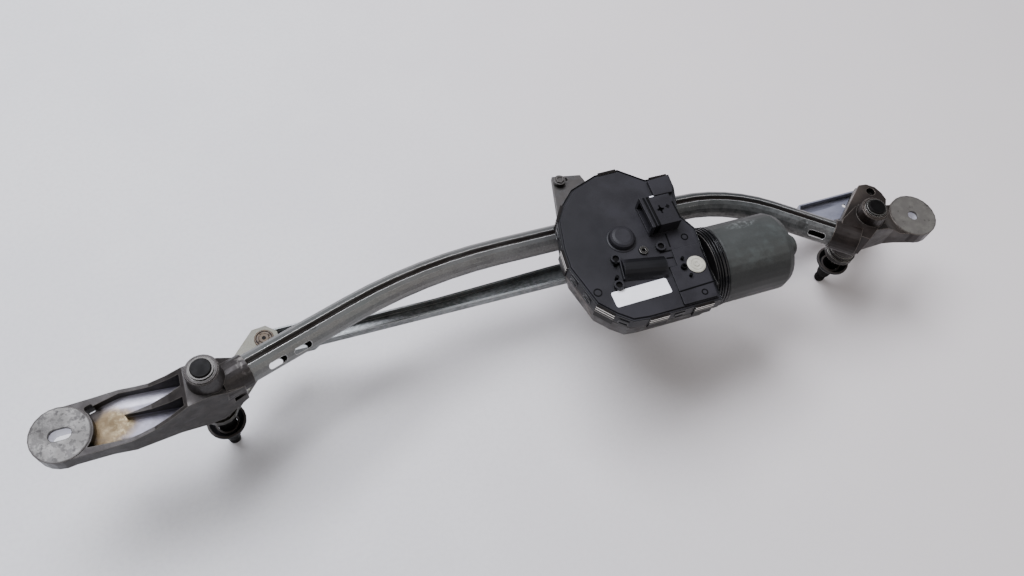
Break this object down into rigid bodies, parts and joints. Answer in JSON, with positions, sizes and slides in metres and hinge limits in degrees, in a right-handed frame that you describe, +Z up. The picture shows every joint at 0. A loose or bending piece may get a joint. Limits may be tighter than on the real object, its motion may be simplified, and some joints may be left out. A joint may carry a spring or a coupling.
{
  "type": "wiper linkage",
  "caption": "Windscreen wiper linkage: bent tube frame with two cast bearing housings, gear motor, crank, drive rods, levers and spindles for the wiper arms.",
  "frame": {"origin": "on the ground, below the middle of the whole assembly, which stands on the ends of its two threaded studs", "axes": "+X along the line from the left spindle to the right one, +Z up along the spindles, away from the studs for the wiper arms, +Y from the spindles towards the frame tube"},
  "size_m": [0.7782, 0.17, 0.152],
  "materials": {
    "galvanised_steel": "satin, weathered zinc",
    "die_cast_aluminium": "dirty die casting",
    "bright_steel": "bright",
    "dark_steel": "dark phosphated",
    "pale_zinc": "yellowed zinc",
    "black_plastic": "satin",
    "white_plastic": "matt",
    "natural_acetal": "satin",
    "black_rubber": "matt",
    "can_paint": "semi-gloss paint",
    "sintered_bronze": "oily",
    "ferrite": "matt"
  },
  "bodies": {
    "frame": {"frame_tube": "galvanised_steel", "left_bearing_housing": "die_cast_aluminium", "right_bearing_housing": "die_cast_aluminium", "gear_housing": "die_cast_aluminium", "gear_cover": "black_plastic", "connector_housing": "black_plastic", "cover_clip_1": "bright_steel", "cover_clip_2": "bright_steel", "cover_clip_3": "bright_steel", "cover_clip_4": "bright_steel", "cover_clip_5": "bright_steel", "cover_clip_6": "bright_steel", "cover_clip_7": "bright_steel", "cover_screw_1": "dark_steel", "cover_screw_2": "dark_steel", "cover_screw_3": "dark_steel", "tab_bolt": "dark_steel", "locating_sleeve": "bright_steel", "vent_plug": "white_plastic", "motor_can": "can_paint", "motor_flange": "black_plastic", "motor_magnet_front": "ferrite", "motor_magnet_rear": "ferrite", "left_lower_bush": "sintered_bronze", "left_upper_bush": "sintered_bronze", "right_lower_bush": "sintered_bronze", "right_upper_bush": "sintered_bronze"},
    "left_arm_drive": {"left_spindle": "dark_steel", "left_retaining_ring": "bright_steel", "left_top_washer": "bright_steel", "left_thrust_washer": "bright_steel", "left_rain_cap": "black_rubber", "left_lever": "pale_zinc", "left_lever_ball_stud": "dark_steel"},
    "left_rod": {"left_drive_rod": "galvanised_steel", "left_rod_lever_socket": "natural_acetal", "left_rod_crank_socket": "natural_acetal", "left_rod_crank_ball": "dark_steel"},
    "right_arm_drive": {"right_spindle": "dark_steel", "right_retaining_ring": "bright_steel", "right_top_washer": "bright_steel", "right_thrust_washer": "bright_steel", "right_rain_cap": "black_rubber", "right_lever": "pale_zinc", "right_lever_ball_stud": "dark_steel"},
    "right_rod": {"right_drive_rod": "galvanised_steel", "right_rod_lever_socket": "natural_acetal", "right_rod_crank_socket": "natural_acetal", "right_rod_crank_ball": "dark_steel"},
    "crank": {"motor_crank": "dark_steel", "crank_double_stud": "bright_steel", "output_shaft": "bright_steel", "worm_wheel": "natural_acetal", "crank_nut": "bright_steel"}
  },
  "joints": [
    {"name": "crank_turn", "type": "hinge", "parent": "frame", "child": "crank", "pos_m": [0.07035, -0.0108, 0.05], "axis": [0, 0, 1], "range_deg": [0, 120]},
    {"name": "left_spindle_turn", "type": "hinge", "parent": "frame", "child": "left_arm_drive", "pos_m": [-0.26465, -0.0328, 0.07], "axis": [0, 0, 1], "range_deg": [0, 80.4]},
    {"name": "right_spindle_turn", "type": "hinge", "parent": "frame", "child": "right_arm_drive", "pos_m": [0.31535, -0.0328, 0.05], "axis": [0, 0, 1], "range_deg": [0, 68.6]},
    {"name": "left_rod_pivot", "type": "hinge", "parent": "left_arm_drive", "child": "left_rod", "pos_m": [-0.22099, 0.01468, 0.06], "axis": [0, 0, 1], "range_deg": [-81, 0]},
    {"name": "right_rod_pivot", "type": "hinge", "parent": "right_arm_drive", "child": "right_rod", "pos_m": [0.3751, 0.01734, 0.04], "axis": [0, 0, 1], "range_deg": [-63.4, 0]}
  ],
  "couplings": [
    {"joint": "left_spindle_turn", "follows": "crank_turn", "ratio": 0.66918},
    {"joint": "right_spindle_turn", "follows": "crank_turn", "ratio": 0.57143},
    {"joint": "left_rod_pivot", "follows": "crank_turn", "ratio": -0.67428},
    {"joint": "right_rod_pivot", "follows": "crank_turn", "ratio": -0.52816}
  ]
}
